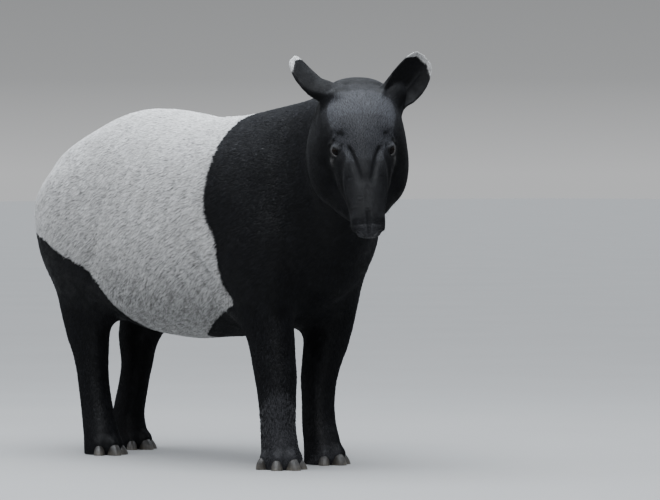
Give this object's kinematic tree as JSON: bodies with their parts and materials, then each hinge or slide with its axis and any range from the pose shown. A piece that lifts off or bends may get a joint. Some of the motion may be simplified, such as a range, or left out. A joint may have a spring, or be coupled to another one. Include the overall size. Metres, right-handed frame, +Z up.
{
  "type": "malayan tapir",
  "caption": "Life-size standing tapir with a pale saddle, dark fore- and hindquarters, cupped ears and a short trunk-like snout, head turned to its right.",
  "frame": {"origin": "centre of the bounding box's footprint, at floor level under the feet", "axes": "+X forward, the way the body faces; +Y the animal's left; +Z up"},
  "size_m": [1.7444, 0.5844, 1.19],
  "materials": {
    "black_coat": "short dense black fur with a faint blue-grey sheen",
    "white_coat": "short dense pale grey-white fur",
    "eyeball": "wet, very dark brown",
    "hoof_horn": "dull dark horn"
  },
  "bodies": {
    "root": {"ear_left": "black_coat", "ear_right": "black_coat", "eye_left": "eyeball", "eye_right": "eyeball", "foot_fore_left": "black_coat", "foot_fore_right": "black_coat", "foot_hind_left": "black_coat", "foot_hind_right": "black_coat", "forequarters": "black_coat", "head": "black_coat", "hindquarters": "black_coat", "hoof_fore_left_1": "hoof_horn", "hoof_fore_left_2": "hoof_horn", "hoof_fore_left_3": "hoof_horn", "hoof_fore_left_4": "hoof_horn", "hoof_fore_right_1": "hoof_horn", "hoof_fore_right_2": "hoof_horn", "hoof_fore_right_3": "hoof_horn", "hoof_fore_right_4": "hoof_horn", "hoof_hind_left_1": "hoof_horn", "hoof_hind_left_2": "hoof_horn", "hoof_hind_left_3": "hoof_horn", "hoof_hind_right_1": "hoof_horn", "hoof_hind_right_2": "hoof_horn", "hoof_hind_right_3": "hoof_horn", "leg_fore_left_lower": "black_coat", "leg_fore_left_upper": "black_coat", "leg_fore_right_lower": "black_coat", "leg_fore_right_upper": "black_coat", "leg_hind_left_lower": "black_coat", "leg_hind_left_upper": "black_coat", "leg_hind_right_lower": "black_coat", "leg_hind_right_upper": "black_coat", "muzzle": "black_coat", "neck": "black_coat", "saddle": "white_coat", "tail": "white_coat"}
  },
  "joints": []
}
